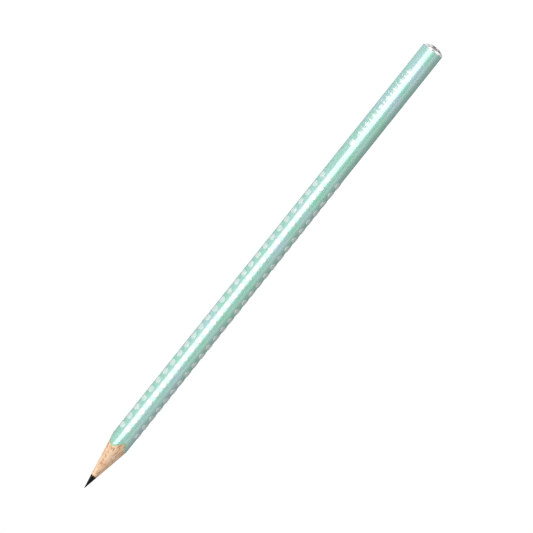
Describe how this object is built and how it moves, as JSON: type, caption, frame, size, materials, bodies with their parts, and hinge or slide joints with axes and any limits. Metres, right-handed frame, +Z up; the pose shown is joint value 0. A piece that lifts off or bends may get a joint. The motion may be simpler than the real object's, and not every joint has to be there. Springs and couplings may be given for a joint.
{
  "type": "graphite pencil",
  "caption": "Three-sided wood-cased graphite pencil, pearl lacquered, with raised grip dots on each face, a foil ornament and a clear cut stone in its far end.",
  "frame": {"origin": "under the middle of the pencil, on the surface it lies on, as it lies on one face", "axes": "+X along the barrel from the stone towards the point, +Z up through the upper corner, +Y across"},
  "size_m": [0.1764, 0.0074, 0.0073],
  "materials": {
    "graphite": "fired graphite and clay, smooth with a slight metallic sheen",
    "casing_wood": "fine straight-grained casing wood, bare where sharpened",
    "casing_glue": "thin hardened wood glue",
    "ground_lacquer": "white ground coat",
    "mint_lacquer": "mint green colour coat",
    "pearl_lacquer": "glossy pearl mint top coat",
    "end_lacquer": "dipped pale pearl lacquer",
    "glitter_varnish": "raised clear varnish with fine silver glitter",
    "silver_foil": "bright hot-stamped foil",
    "clear_stone": "cut and polished clear glass",
    "mirror_foil": "silvered back of the stone",
    "stone_glue": "clear hardened glue"
  },
  "bodies": {
    "root": {"graphite_core": "graphite", "core_glue": "casing_glue", "upper_slat": "casing_wood", "lower_slat": "casing_wood", "slat_glue_left": "casing_glue", "slat_glue_right": "casing_glue", "ground_coat": "ground_lacquer", "colour_coat": "mint_lacquer", "pearl_coat": "pearl_lacquer", "end_dip": "end_lacquer", "foil_rosette": "silver_foil", "foil_stars": "silver_foil", "foil_lozenges": "silver_foil", "foil_beads": "silver_foil", "stone_glue": "stone_glue", "stone_mirror": "mirror_foil", "end_stone": "clear_stone", "grip_dots_left_a": "glitter_varnish", "grip_dots_left_b": "glitter_varnish", "grip_dots_right_a": "glitter_varnish", "grip_dots_right_b": "glitter_varnish", "grip_dots_bottom_a": "glitter_varnish", "grip_dots_bottom_b": "glitter_varnish"}
  },
  "joints": []
}
